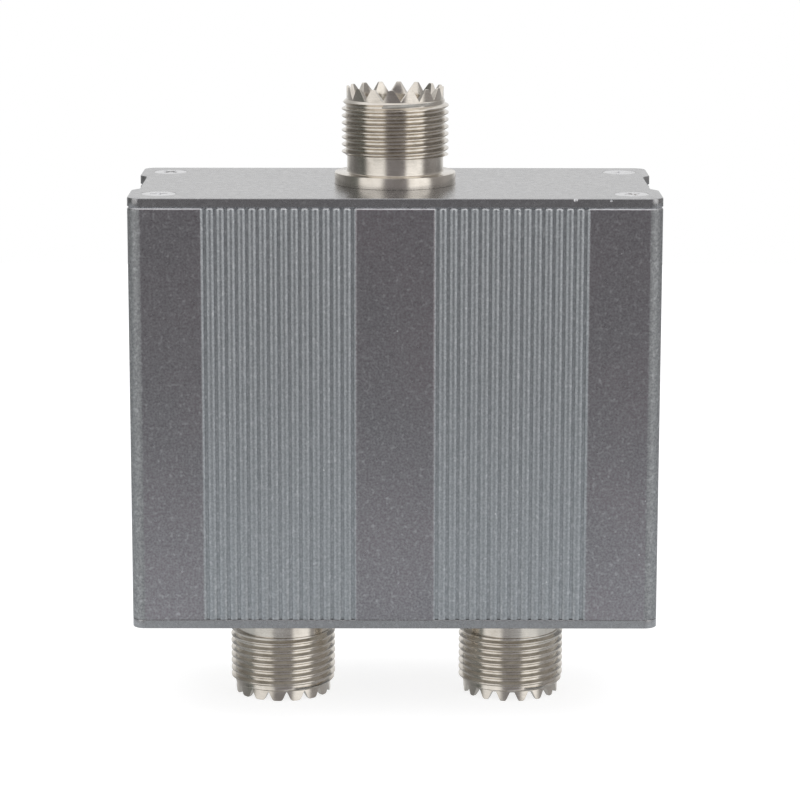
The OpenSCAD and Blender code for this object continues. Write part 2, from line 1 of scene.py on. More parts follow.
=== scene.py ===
# %% [markdown]
# # An antenna duplexer
# The real object is a small metal box that lets two radios share one antenna. Two halves of a
# ribbed aluminium extrusion hold a filter board, a flat plate closes each end, and three coaxial
# jacks carry the signals: the antenna's on top, the two radios' below.
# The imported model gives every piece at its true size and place. This lesson dresses it: each
# piece that shows is built again with its fine edges, and each surface gets its finish.

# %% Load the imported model
import math

import bmesh
import bpy
from mathutils import Matrix, Vector


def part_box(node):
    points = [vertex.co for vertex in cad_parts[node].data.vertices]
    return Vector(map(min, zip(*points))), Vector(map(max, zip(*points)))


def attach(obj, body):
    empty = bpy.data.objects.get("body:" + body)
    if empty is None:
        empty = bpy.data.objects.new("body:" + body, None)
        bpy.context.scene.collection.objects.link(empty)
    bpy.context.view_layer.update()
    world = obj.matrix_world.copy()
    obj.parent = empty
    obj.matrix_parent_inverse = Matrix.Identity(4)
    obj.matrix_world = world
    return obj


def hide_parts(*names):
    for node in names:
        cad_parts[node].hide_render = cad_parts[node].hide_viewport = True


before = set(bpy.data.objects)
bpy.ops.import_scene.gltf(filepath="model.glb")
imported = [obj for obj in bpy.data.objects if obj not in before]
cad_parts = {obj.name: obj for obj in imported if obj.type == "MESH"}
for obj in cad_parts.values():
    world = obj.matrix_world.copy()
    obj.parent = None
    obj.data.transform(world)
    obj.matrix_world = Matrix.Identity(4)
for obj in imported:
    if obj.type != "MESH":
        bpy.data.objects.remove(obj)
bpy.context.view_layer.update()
scene = bpy.context.scene
print("pieces in the packed model:", len(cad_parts))

# %% [markdown]
# Blender works in metres, but a small box is easier to think of in millimetres. So all sizes are
# in millimetres, and one factor turns them into metres where points become a mesh. What the
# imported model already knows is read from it.

# %% Sizes that come from the model
MM = 0.001


def node_box(node):
    low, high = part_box(node)
    return low / MM, high / MM


shell_high = node_box("back_shell")[1]
half_w = shell_high.x
half_d = shell_high.y
shell_z = shell_high.z
plate_z = node_box("top_plate")[1].z
plate_t = plate_z - shell_z
jack_low, jack_high = node_box("antenna_jack_shell")
flange_r = jack_high.x
jack_h = jack_high.z - plate_z
stem_back = jack_low.z - plate_z
low_x, high_x = [sum(corner.x for corner in node_box(jack + "_jack_shell")) / 2
                 for jack in ("low_band", "high_band")]
print("housing", round(2 * half_w, 2), round(2 * half_d, 2), round(2 * plate_z, 2), "mm")

# %% [markdown]
# ## The camera
# A long lens stands well back and looks slightly down, so that upright edges lean only a little.
# Its place and turn follow from where the corners of the box fall in the photograph. Three plain
# rotations, one after the other, are easier to read than one matrix of numbers.

# %% Camera
LENS = 142.25
CAMERA_PLACE = (-0.65, -468.2, 91.2)
PITCH = 11.158
TURN = -0.175
ROLL = 0.084

camera = bpy.data.objects.new("camera", bpy.data.cameras.new("camera"))
camera.data.lens = LENS
camera.data.clip_start = 10 * MM
tilt = Matrix.Rotation(math.radians(90 - PITCH), 4, "X")
turn = Matrix.Rotation(math.radians(TURN), 4, "Z")
roll = Matrix.Rotation(math.radians(ROLL), 4, "Z")
camera.matrix_world = Matrix.Translation(Vector(CAMERA_PLACE) * MM) @ turn @ tilt @ roll
scene.collection.objects.link(camera)
scene.camera = camera
print("camera stands", round(Vector(CAMERA_PLACE).length), "mm away")

# %% [markdown]
# ## Meshes from loops
# Almost every piece here is a stack of closed loops of points: a turned part is a stack of circles,
# a sheet is its outline at a few heights, and an extrusion is its section, drawn in a little at
# both ends. Blender's own cylinders would give sharp, perfect edges. Stacked loops let each edge
# have a small rounding.

# %% Helpers for loops
def add_loop(bm, points):
    return [bm.verts.new(Vector(point) * MM) for point in points]


def join_loops(bm, first, second):
    """A band of faces between two loops of equal length."""
    count = len(first)
    for i in range(count):
        j = (i + 1) % count
        bm.faces.new((first[i], first[j], second[j], second[i]))


def join_all(bm, loops):
    """Bands of faces from each loop to the next."""
    for one, other in zip(loops, loops[1:]):
        join_loops(bm, one, other)


def stack(bm, levels, place):
    """Outlines at several heights, joined into one wall. Returns the lowest and highest loop."""
    loops = [add_loop(bm, [place(x, y, z) for x, y in outline]) for outline, z in levels]
    join_all(bm, loops)
    return loops[0], loops[-1]


def fill_between(bm, loops):
    """A flat face inside the first loop, with the other loops left out as holes."""
    edges = []
    for loop in loops:
        for i, vert in enumerate(loop):
            following = loop[(i + 1) % len(loop)]
            edges.append(bm.edges.get((vert, following)) or bm.edges.new((vert, following)))
    bmesh.ops.triangle_fill(bm, edges=edges, use_beauty=True)


# %% Outlines
def arc(centre, radius, start, stop, steps):
    """Points along an arc, with its angles in degrees."""
    points = []
    for i in range(steps + 1):
        angle = math.radians(start + (stop - start) * i / steps)
        points.append((centre[0] + radius * math.cos(angle), centre[1] + radius * math.sin(angle)))
    return points


def circle(centre, radius, count=48):
    return arc(centre, radius, 0, 360 - 360 / count, count - 1)


def mirrored(points):
    return [(-x, y) for x, y in reversed(points)]


print("a circle has", len(circle((0, 0), 1)), "points unless told otherwise")


# %% From loops to a piece
def make_piece(name, bm, finish, sharp=32):
    """Turns the loops into an object. Edges that turn more than sharp degrees stay crisp."""
    bmesh.ops.recalc_face_normals(bm, faces=bm.faces)
    mesh = bpy.data.meshes.new(name)
    bm.to_mesh(mesh)
    bm.free()
    mesh.materials.append(finish)
    mesh.shade_smooth()
    mesh.set_sharp_from_angle(angle=math.radians(sharp))
    piece = bpy.data.objects.new(name, mesh)
    scene.collection.objects.link(piece)
    return piece


def keep_flats_flat(piece):
    """Where a small rounding meets a large flat face, the flat face sets the shading."""
    weigh = piece.modifiers.new("flat_faces", "WEIGHTED_NORMAL")
    weigh.keep_sharp = True
    weigh.weight = 80


def dress(piece, node):
    """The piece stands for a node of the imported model, and takes its place on the body."""
    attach(piece, "root")
    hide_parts(node)
    print(piece.name, "stands for", node)


# %% [markdown]
# ## Finishes
# Every finish is made of nodes alone. A noise texture in the object's own millimetres gives grain
# at a known size, wherever the piece stands. These helpers place a node, set it and wire it in one
# line, so that each finish below reads as a short recipe.

# %% Helpers for node trees
class Nodes:
    """Short ways to add nodes to a tree. An input is given as a value or as a socket."""

    def __init__(self, tree):
        self.tree = tree

    def add(self, kind, settings=None, inputs=None):
        made = self.tree.nodes.new(kind)
        for key, value in (settings or {}).items():
            setattr(made, key, value)
        for key, value in (inputs or {}).items():
            if isinstance(value, bpy.types.NodeSocket):
                self.tree.links.new(value, made.inputs[key])
            else:
                made.inputs[key].default_value = value
        return made

    def spread(self, value, low, high, to_low=0.0, to_high=1.0, shape="LINEAR"):
        """Stretches the range low to high over to_low to to_high, and stops there."""
        inputs = {"Value": value, 1: low, 2: high, 3: to_low, 4: to_high}
        return self.add("ShaderNodeMapRange", {"interpolation_type": shape}, inputs).outputs[0]

    def mix(self, share, first, second):
        """A colour between two, which are colours or sockets."""
        opaque = [c if isinstance(c, bpy.types.NodeSocket) else (*c, 1.0) for c in (first, second)]
        inputs = {0: share, 6: opaque[0], 7: opaque[1]}
        return self.add("ShaderNodeMix", {"data_type": "RGBA"}, inputs).outputs[2]

    def maths(self, operation, first, second):
        return self.add("ShaderNodeMath", {"operation": operation}, {0: first, 1: second}).outputs[0]


# %% Helpers for finishes
class Recipe(Nodes):
    """A new material, its main shader, and points of the object in millimetres."""

    def __init__(self, name, metallic, roughness):
        self.material = bpy.data.materials.new(name)
        self.material.use_nodes = True
        super().__init__(self.material.node_tree)
        self.shader = self.tree.nodes["Principled BSDF"]
        self.shader.inputs["Metallic"].default_value = metallic
        self.shader.inputs["Roughness"].default_value = roughness
        place = self.add("ShaderNodeTexCoord")
        self.place = self.add("ShaderNodeVectorMath", {"operation": "SCALE"},
                              {0: place.outputs["Object"], "Scale": 1 / MM}).outputs[0]

    def stretched(self, stretch):
        return self.add("ShaderNodeVectorMath", {"operation": "MULTIPLY"},
                        {0: self.place, 1: stretch}).outputs[0]

    def noise(self, size, detail=2.0, stretch=None):
        """Soft noise whose spots are about size millimetres across, from 0 to 1."""
        place = self.stretched(stretch) if stretch else self.place
        inputs = {"Vector": place, "Scale": 1 / size, "Detail": detail}
        return self.add("ShaderNodeTexNoise", None, inputs).outputs["Fac"]

    def use(self, socket, value):
        self.tree.links.new(value, self.shader.inputs[socket])

    def bump(self, height, depth):
        """Relief from a height of 0 to 1 over depth millimetres."""
        inputs = {"Height": height, "Distance": depth * MM, "Strength": 1.0}
        self.use("Normal", self.add("ShaderNodeBump", None, inputs).outputs[0])


# %% [markdown]
# ### Blasted aluminium
# The housing was blasted with fine beads and then anodised grey. Blasting leaves a grain of dimples
# a third of a millimetre across, and some catch the light as sparks. Handling leaves a few bright
# flecks. It stays a metal, so it takes its brightness from the room: a painted grey would not turn
# dark where it faces the dark end of the room and bright along the shoulders of its ribs.
# The finish is not even. The ribbed bands are painted lighter and bluer than the plain strips:
# a painted sheen for the light their flanks catch. The long edges are duller, the filed top end
# is bare metal whose light tone is also a painted highlight, and the top plate has two chips on
# its front edge. Each of these is found from a point's own place on the part.

# %% Zones and flecks
ZONE_BLUR = 0.1
FLECK_SPACING = 3.4
# How far a fleck is full and where it has faded, as shares of the spacing
FLECK_R = (0.03, 0.045)
FLECK_COLOUR = (0.80, 0.80, 0.80)


def zone_between(recipe, across, first, last):
    """1 where the distance across lies between first and last, and 0 elsewhere."""
    begun = recipe.spread(across, first - ZONE_BLUR, first + ZONE_BLUR)
    going_on = recipe.spread(across, last - ZONE_BLUR, last + ZONE_BLUR, 1.0, 0.0)
    return recipe.maths("MULTIPLY", begun, going_on)


def flecks(recipe):
    """A few bright dots, which are the middles of some cells of an uneven cell pattern."""
    inputs = {"Vector": recipe.place, "Scale": 1 / FLECK_SPACING, "Randomness": 1.0}
    cell = recipe.add("ShaderNodeTexVoronoi", None, inputs).outputs["Distance"]
    near = recipe.spread(cell, *FLECK_R, 1.0, 0.0)
    sparse = recipe.spread(recipe.noise(5.5, 0.0), 0.52, 0.56)
    return recipe.maths("MULTIPLY", near, sparse)


# %% Blasted aluminium
# Noise runs from 0 to 1, but keeps mostly to this part
NOISE_SPAN = (0.3, 0.7)
DRIFT = 0.04
PATCH = 14
GRAIN = 0.32
GRAIN_SPAN = (0.36, 0.68)
FINE_GRAIN = 0.12
DIMPLE = 0.006
# Painted glints: size, spread and colour of the light spots painted in as sparks
SPARK = 0.7
SPARK_SPAN = (0.58, 0.76)
SPARK_COLOUR = (0.78, 0.79, 0.80)
# Light bare-metal tone, on the chips and on the top end, where it is also a painted highlight
BARE_METAL_AND_HIGHLIGHT = (0.74, 0.74, 0.76)
CHIP_DEPTH = 0.32


def blasted_aluminium(name, tones, roughness, glitter, zones=(), bare_highlight_above=None, chips=()):
    """tones are the ground's, the grain's and the patches' colours. A zone is where it starts and
    ends on each side of the middle, its ground and grain, and how much rougher it is. Above the
    given height of the top end the metal is bare, and its light tone is also a painted highlight.
    A chip is a place and a radius."""
    dark, light, warm = tones
    recipe = Recipe(name, 1.0, roughness)
    parts = recipe.add("ShaderNodeSeparateXYZ", None, {0: recipe.place}).outputs
    across = recipe.maths("ABSOLUTE", parts["X"], 0.0)
    grain = recipe.noise(GRAIN, 3.0)
    ground = recipe.mix(recipe.spread(recipe.noise(PATCH, 2.0), *NOISE_SPAN), dark, warm)
    rough = recipe.spread(recipe.noise(GRAIN * 3, 2.0), *NOISE_SPAN, roughness - DRIFT, roughness + DRIFT)
    for first, last, zone_ground, zone_grain, rougher in zones:
        inside = zone_between(recipe, across, first, last)
        ground = recipe.mix(inside, ground, zone_ground)
        light = recipe.mix(inside, light, zone_grain)
        rough = recipe.maths("ADD", rough, recipe.maths("MULTIPLY", inside, rougher))
    colour = recipe.mix(recipe.spread(grain, *GRAIN_SPAN), ground, light)
    # Painted glints: some spots of the colour are turned light, as sparks of light on the blasted grain
    sparks = recipe.spread(recipe.noise(SPARK, 1.0), *SPARK_SPAN, 0.0, glitter)
    colour = recipe.mix(sparks, colour, SPARK_COLOUR)
    # Painted highlight as well as bare metal: the top end is coloured in the light bare-metal tone
    if bare_highlight_above:
        bare_highlight_zone = recipe.spread(parts["Z"], bare_highlight_above, bare_highlight_above + ZONE_BLUR)
        uneven = recipe.spread(recipe.noise(1.3, 2.0), 0.30, 0.52, 0.4, 1.0)
        colour = recipe.mix(recipe.maths("MULTIPLY", bare_highlight_zone, uneven), colour, BARE_METAL_AND_HIGHLIGHT)
    relief = recipe.maths("ADD", grain, recipe.noise(FINE_GRAIN, 1.0))
    for centre, radius in chips:
        away = recipe.add("ShaderNodeVectorMath", {"operation": "DISTANCE"}, {0: recipe.place, 1: centre})
        ragged = recipe.maths("ADD", away.outputs["Value"], recipe.maths("MULTIPLY", grain, radius))
        colour = recipe.mix(recipe.spread(ragged, radius, radius * 1.5, 0.9, 0.0), colour, BARE_METAL_AND_HIGHLIGHT)
        deepest = -radius * CHIP_DEPTH / DIMPLE
        relief = recipe.maths("ADD", relief, recipe.spread(away.outputs["Value"], 0.0, radius, deepest, 0.0))
    recipe.use("Base Color", recipe.mix(flecks(recipe), colour, FLECK_COLOUR))
    recipe.use("Roughness", rough)
    recipe.bump(relief, DIMPLE)
    return recipe.material


# %% Tones of the housing and the plates
STRIPS = ((0.29, 0.28, 0.296), (0.44, 0.435, 0.45), (0.335, 0.297, 0.317))
# Painted sheen: the ribbed bands' ground and grain are lighter and bluer, for the light their flanks catch
RIB_BANDS_SHEEN = (5.7, 28.0, (0.385, 0.405, 0.42), (0.53, 0.55, 0.565), 0.05)
LONG_EDGES = (36.7, 40.0, (0.30, 0.305, 0.31), (0.46, 0.465, 0.47), 0.20)
# Depth of the top end whose colour is the light bare-metal tone, partly a painted highlight
BARE_HIGHLIGHT_DEPTH = 0.34
PLATE = ((0.36, 0.36, 0.365), (0.43, 0.43, 0.435), (0.38, 0.375, 0.38))
CHIPS = [((25.9, -half_d, plate_z - 0.15), 0.34), ((31.0, -half_d, plate_z - 0.30), 0.18)]
housing_finish = blasted_aluminium("blasted_housing", STRIPS, 0.31, 0.40, [RIB_BANDS_SHEEN, LONG_EDGES],
                                   bare_highlight_above=shell_z - BARE_HIGHLIGHT_DEPTH)
plate_finish = blasted_aluminium("blasted_plate", PLATE, 0.26, 0.2, chips=CHIPS)
for finish in (housing_finish, plate_finish):
    print(finish.name, "is made of", len(finish.node_tree.nodes), "nodes")

# %% [markdown]
# ### Nickel, steel, silver and the insulator
# The jacks are turned brass with nickel plate: smooth enough for the room to show in it as soft
# bands, with faint rings left by the lathe. The rings run round the part, so they are noise that
# is stretched flat across and kept fine along the axis. Screws and contacts follow the same recipe.

# %% Turned metal
TURNING = 0.09


def turned_metal(name, colour, stain, roughness, ring_depth):
    recipe = Recipe(name, 1.0, roughness)
    rings = recipe.noise(TURNING, 2.0, (0.03, 0.03, 1.0))
    clouds = recipe.spread(recipe.noise(1.6, 3.0), 0.42, 0.75)
    recipe.use("Base Color", recipe.mix(clouds, colour, stain))
    recipe.use("Roughness", recipe.spread(rings, *NOISE_SPAN, roughness - DRIFT, roughness + 0.05))
    recipe.bump(rings, ring_depth)
    return recipe.material


nickel_finish = turned_metal("nickel_plate", (0.74, 0.695, 0.63), (0.63, 0.585, 0.52), 0.18, 0.004)
silver_finish = turned_metal("silver_plate", (0.80, 0.78, 0.74), (0.62, 0.57, 0.50), 0.28, 0.004)
steel_finish = turned_metal("screw_steel", (0.74, 0.74, 0.75), (0.62, 0.62, 0.63), 0.28, 0.003)
print("the lathe's rings are", TURNING, "mm apart")


# %% The insulator's plastic
def mottled(name, metallic, roughness, spots, dark, light):
    """A finish that drifts between two tones. spots are the noise's size and detail."""
    recipe = Recipe(name, metallic, roughness)
    recipe.use("Base Color", recipe.mix(recipe.noise(*spots), dark, light))
    return recipe


def insulator_plastic():
    recipe = mottled("insulator_plastic", 0.0, 0.38, (2.4, 2.0), (0.84, 0.83, 0.80), (0.90, 0.90, 0.88))
    recipe.bump(recipe.noise(TURNING * 2, 2.0, (0.05, 0.05, 1.0)), 0.006)
    recipe.shader.inputs["Subsurface Weight"].default_value = 0.3
    recipe.shader.inputs["Subsurface Scale"].default_value = 0.6 * MM
    return recipe.material


insulator_finish = insulator_plastic()
print("finishes so far:", len(bpy.data.materials))

# %% [markdown]
# ## The housing halves
# An extrusion has one section over its whole length, so the piece is that section, drawn once and
# pulled up. The two halves are the same extrusion, one turned round: a tongue on one side of each
# goes into a groove on the other. The face has two bands of ribs with rounded crowns and narrow
# flat grooves between them, and the crowns are level with the plain strips. Ribs like these cost
# nothing in an extrusion, hide scratches and give the fingers a hold.

# %% Section of a housing half
EDGE_R = 1.9
CHANNEL_DEPTH = 1.1
CHANNEL_HALF = 6.6
SHOULDER = 2.4
PITCH_OF_RIBS = 1.52
GROOVES = 15
GROOVE_FLOOR = 0.4
CENTRE_STRIP = 11.9
RIB_H = 0.45
CROWN_R = 0.8
FACE_WALL = 2.2
SIDE_WALL = 1.8

channel_x = half_w - CHANNEL_DEPTH
rib_half = (PITCH_OF_RIBS - GROOVE_FLOOR) / 2
band_start = CENTRE_STRIP / 2 - rib_half
cavity = (half_w - SIDE_WALL, half_d - FACE_WALL)


def side_and_corner():
    """From the floor of the side channel over its shoulder and round the long edge."""
    steps = 20
    points = []
    for i in range(steps + 1):
        t = i / steps
        across = CHANNEL_DEPTH * (1 - math.cos(math.pi * t)) / 2
        points.append((channel_x + across, CHANNEL_HALF + SHOULDER * t))
    return points + arc((half_w - EDGE_R, half_d - EDGE_R), EDGE_R, 0, 90, 14)


def crown(x, start, stop, steps):
    """The rounded crown of the rib that stands at x."""
    return arc((x, half_d - CROWN_R), CROWN_R, start, stop, steps)


def ribbed_band():
    """From the outer end of the right band to its inner end."""
    turn = math.degrees(math.asin(rib_half / CROWN_R))
    points = crown(band_start + GROOVES * PITCH_OF_RIBS, 90, 90 + turn, 6)
    for i in range(GROOVES - 1, -1, -1):
        rib_x = band_start + i * PITCH_OF_RIBS
        points += [(rib_x + PITCH_OF_RIBS - rib_half, half_d - RIB_H), (rib_x + rib_half, half_d - RIB_H)]
        points += crown(rib_x, 90 - turn, 90 + turn, 12) if i else crown(rib_x, 90 - turn, 90, 6)
    return points


# %% Inside of the section
SCREW_INSET = (4.3, 5.3)
SCREW_R = 1.3
PORT_WALL = 1.6
SLIT_HALF = 0.5
RAIL_W = 3.6
RAIL_H = 3.0
BOARD_GRIP = 1.3
BOARD_HALF = 0.8
TONGUE_HALF = 0.4
TONGUE_H = 1.0
SEAM_GAP = 0.05

screw_spot = (half_w - SCREW_INSET[0], half_d - SCREW_INSET[1])
port_r = SCREW_R + PORT_WALL
rail_x = channel_x - RAIL_W
slot_end = rail_x + BOARD_GRIP + SEAM_GAP
tongue_x = (rail_x + BOARD_GRIP + channel_x) / 2


def inside():
    """From the middle of the face's wall to the foot of the right rail, past the screw's channel."""
    at_port = math.degrees(math.asin(SLIT_HALF / port_r))
    at_bore = math.degrees(math.asin(SLIT_HALF / SCREW_R))
    wall_angle = math.degrees(math.acos((cavity[0] - screw_spot[0]) / port_r))
    points = [(screw_spot[0], cavity[1])]
    points += arc(screw_spot, port_r, 90, 225 - at_port, 12)
    points += arc(screw_spot, SCREW_R, 225 - at_bore, at_bore - 135, 20)
    points += arc(screw_spot, port_r, 225 + at_port, 360 - wall_angle, 10)
    back = CHANNEL_HALF + SHOULDER
    points += [(cavity[0], back), (channel_x - SIDE_WALL, back), (channel_x - SIDE_WALL, RAIL_H)]
    return points + [(rail_x, RAIL_H), (rail_x, BOARD_HALF), (slot_end, BOARD_HALF), (slot_end, 0)]


print("the screw's channel has its axis at", [round(v, 2) for v in screw_spot], "mm")


# %% The whole section
def finger(x, half, height):
    """A tongue or groove on the seam, from the outside in."""
    return [(x + half, 0), (x + half, height), (x - half, height), (x - half, 0)]


def inwards(point):
    """The way into the metal from a point of the outer face, as if the face had no ribs."""
    corner = Vector((half_w - EDGE_R, half_d - EDGE_R))
    past = Vector((max(0, abs(point[0]) - corner.x), max(0, point[1] - corner.y)))
    if past.length == 0:
        past = Vector((1, 0)) if abs(point[0]) > band_start + GROOVES * PITCH_OF_RIBS else Vector((0, 1))
    past.normalize()
    return Vector((-math.copysign(past.x, point[0]), -past.y))


def half_section(depth=0):
    """The section, with its outer face moved in by a depth and its inside left as it is."""
    right = [(channel_x, 0)] + side_and_corner() + ribbed_band()
    right = [tuple(Vector(point) + inwards(point) * depth) for point in right]
    tongue = [(-x, y) for x, y in finger(tongue_x, TONGUE_HALF, -TONGUE_H)]
    groove = finger(tongue_x, TONGUE_HALF + SEAM_GAP, TONGUE_H + SEAM_GAP)[::-1]
    return right + mirrored(right) + tongue + mirrored(inside()) + inside() + groove


section = half_section()
print("the section has", len(section), "points")

# %% [markdown]
# The saw leaves a burr on both cut ends. At the top it was filed to a small slope, which shows as
# a fine bright line under the plate, helped by a painted highlight in the housing's colour. At the
# bottom the edge is only broken. Both are made by moving the outer face in, level by level, while
# the inside of the section stays as it is. A plain bevel on all edges would also have rounded the
# slots and screw channels inside.

# %% Pull the section up
FILED_END = [(0.34, 0), (0.25, 0.03), (0.05, 0.32), (0, 0.46)]
CRISP_END = 0.05


def rounding(radius, steps):
    """Depth and height of the points of a quarter round, from the end face outwards."""
    angles = [math.pi / 2 * i / steps for i in range(steps + 1)]
    return [(radius * (1 - math.sin(a)), radius * (1 - math.cos(a))) for a in angles]


def drawn_in(points, distance):
    """The same closed outline, moved into the metal by a distance, and by at most twice as much
    at a sharp corner."""
    moved = []
    count = len(points)
    for i in range(count):
        before = Vector(points[i - 1])
        here = Vector(points[i])
        after = Vector(points[(i + 1) % count])
        first = (here - before).normalized()
        second = (after - here).normalized()
        normal = Vector((-first.y - second.y, first.x + second.x)).normalized()
        slant = max(0.5, normal.dot(Vector((-first.y, first.x))))
        moved.append(tuple(here + normal * distance / slant))
    return moved


def housing_half(name, side):
    """side is 1 for the back half and -1 for the front one, which is turned round."""
    bm = bmesh.new()
    levels = [(half_section(depth), height - shell_z) for depth, height in rounding(CRISP_END, 2)]
    levels += [(half_section(depth), shell_z - height) for depth, height in FILED_END[::-1]]
    for end in stack(bm, levels, lambda x, y, z: (side * x, side * y, z)):
        bm.faces.new(end)
    half = make_piece(name, bm, housing_finish)
    keep_flats_flat(half)
    return half


dress(housing_half("housing_front", -1), "front_shell")
dress(housing_half("housing_back", 1), "back_shell")

# %% [markdown]
# ## End plates
# Each plate is cut from sheet to the outline of the whole section, notches included. Its edges are
# broken, so the seam to the housing shows as a fine line, and the outer edge catches the light.
# The screw holes are countersunk. Outlines at several heights give the rounded edges, and each
# hole is a stack of circles that the flat faces leave out. The bottom plate is the top plate's
# twin, but its seam edge is broken wider and its outer edge less.

# %% End plates
HEAD_R = 2.5
HEAD_GAP = 0.04
HOLE_R = 6.45
HOLE_FLAT = 5.85
HEAD_H = 1.2

screw_spots = [(sx * screw_spot[0], sy * screw_spot[1]) for sx in (-1, 1) for sy in (-1, 1)]


def plate_outline():
    right = side_and_corner()
    back = right + mirrored(right)
    return back + [(-x, -y) for x, y in back]


def jack_hole(x):
    """A round hole with one flat, which keeps the jack from turning."""
    return [(px, min(py, HOLE_FLAT)) for px, py in circle((x, 0), HOLE_R, 72)]


def end_plate(name, place, holes, seam_edge, outer_edge):
    bm = bmesh.new()
    outline = plate_outline()
    levels = [(drawn_in(outline, depth), height) for depth, height in rounding(seam_edge, 3)]
    outer = rounding(outer_edge, 4)[::-1]
    levels += [(drawn_in(outline, depth), plate_t - height) for depth, height in outer]
    walls = [stack(bm, levels, place)]
    for centre in screw_spots:
        narrow = circle(centre, SCREW_R)
        wide = circle(centre, HEAD_R + HEAD_GAP)
        lip = circle(centre, HEAD_R + 2 * HEAD_GAP)
        cone = [(narrow, 0), (narrow, plate_t - HEAD_H), (wide, plate_t - HEAD_GAP), (lip, plate_t)]
        walls.append(stack(bm, cone, place))
    for x in holes:
        hole = jack_hole(x)
        walls.append(stack(bm, [(hole, 0), (hole, plate_t)], place))
    fill_between(bm, [wall[0] for wall in walls])
    fill_between(bm, [wall[1] for wall in walls])
    plate = make_piece(name, bm, plate_finish)
    keep_flats_flat(plate)
    return plate


def on_top(x, y, z):
    return (x, y, shell_z + z)


def on_bottom(x, y, z):
    return (-x, y, -shell_z - z)


dress(end_plate("end_plate_top", on_top, [0], 0.05, 0.16), "top_plate")
dress(end_plate("end_plate_bottom", on_bottom, [-high_x, -low_x], 0.14, 0.07), "bottom_plate")

# %% [markdown]
# ## A real screw thread
# A thread could be a stack of rings, but rings don't climb, and in the photograph each crest rises
# to the right. Here the rows of the mesh climb by one pitch in a turn, so a row's end meets the
# start of the row one pitch further up. Points past either end of the thread are gathered on its
# end circle, which cuts the first and last crest off the way a groove beside a thread does. At the
# mouth the crests also run down to the barrel, as a lathe leaves them to help the plug's ring
# find its way.

# %% A helical thread
FLANK_SLOPE = math.tan(math.radians(30))
RUN_OUT_SLOPE = 1.0


def cut_thread(bm, count, sizes, low, high, first, place, run_out=None):
    """A right-handed thread from low to high, with a crest at the height first at angle 0.
    sizes are root and crest radius, pitch and the crest's flat. run_out is the radius to which
    the crests fall at the high end. Returns both end loops."""
    root, crest, pitch, flat = sizes
    flank = (crest - root) * FLANK_SLOPE
    offsets = (-flat / 2 - flank, -flat / 2, flat / 2, flat / 2 + flank)

    def point(i, radius, z):
        if run_out is not None:
            radius = min(radius, run_out + RUN_OUT_SLOPE * (high - z))
        angle = 2 * math.pi * i / count
        return bm.verts.new(Vector(place(radius * math.cos(angle), radius * math.sin(angle), z)) * MM)

    def surface(i, z):
        laps = (z - first) / pitch - i / count
        away = abs(laps - round(laps)) * pitch - flat / 2
        return min(crest, max(root, crest - away / FLANK_SLOPE))

    bottom = [point(i, surface(i, low), low) for i in range(count)]
    top = [point(i, surface(i, high), high) for i in range(count)]
    rows = []
    for lap in range(math.floor((low - first) / pitch) - 3, math.ceil((high - first) / pitch) + 3):
        for offset in offsets:
            row = []
            for i in range(count):
                z = first + pitch * (lap + i / count) + offset
                radius = crest if abs(offset) < flat else root
                inside_ends = low < z < high
                end = bottom[i] if z <= low else top[i]
                row.append(point(i, radius, z) if inside_ends else end)
            rows.append(row)
    for j in range(len(rows) - len(offsets) - 1):
        lower = rows[j] + [rows[j + len(offsets)][0]]
        upper = rows[j + 1] + [rows[j + len(offsets) + 1][0]]
        for i in range(count):
            corners = dict.fromkeys((lower[i], lower[i + 1], upper[i + 1], upper[i]))
            if len(corners) > 2:
                bm.faces.new(tuple(corners))
    return bottom, top


print("a flank of the thread rises", round(1 / FLANK_SLOPE, 2), "mm per millimetre along")

# %% [markdown]
# ## The jacks
# A jack's shell is one turned part: a stem through the plate, a flange, a plain barrel, the thread
# that the plug's ring screws onto, and a mouth with sixteen teeth that keep the plug from turning.
# A shaped saw cuts two opposite notches in one pass, so a notch is equally wide inside and outside,
# and the points of both circles are spread to match. Inside, the teeth lean back like the sides
# of a funnel, which leads the plug in and catches the light from above. In the photograph the
# notches of the top jack are sharp, those of the left one round and those of the right one flat
# at the bottom, as saws at three stages of wear leave them. Each jack was screwed in until it was
# tight, so each one's teeth stand at an angle of their own.

# %% Sizes of a jack's shell
TEETH = 16
PER_TOOTH = 12
COLUMNS = PER_TOOTH * TEETH
# Root and crest radius, pitch, and the crest's flat
THREAD = (7.36, 7.9375, 1.0583, 0.15)
THREAD_L = 8.28
BEFORE_CREST = 0.72
RUN_OUT_R = 7.3
BARREL_R = 7.15
MOUTH_R = 7.2
BORE_R = 6.05
MOUTH_FLOOR = 5.4
STEM_R = 6.35
STEM_FLAT = 5.75
SLEEVE_R = 4.3
FLANGE_T = 1.75
STEM_EDGE = 0.3
SHARP_EDGE = 0.04
FLANGE_EDGE = 0.2
FILLET = 0.3
# A rounding's middle point lies at this share of its radius
MIDDLE = 0.3
# Two loops that would meet are set apart by this
APART = 0.02
TOOTH_EDGE = 0.05
MOUTH_LEAN = 0.48
# Half a notch, from its floor up: distance from its middle and depth below the rim
SHARP_NOTCH = [(0, 1.75), (0.3, 1.25), (0.62, 0.74), (0.92, 0.26), (1.04, 0.07), (1.13, 0)]
ROUND_NOTCH = [(0, 1.42), (0.2, 1.08), (0.4, 0.62), (0.58, 0.26), (0.76, 0.07), (1.0, 0)]
FLAT_NOTCH = [(0, 1.38), (0.34, 1.36), (0.6, 0.82), (0.84, 0.3), (0.98, 0.08), (1.14, 0)]


def ring(radius, z):
    return [(x, y, z) for x, y in circle((0, 0), radius, COLUMNS)]


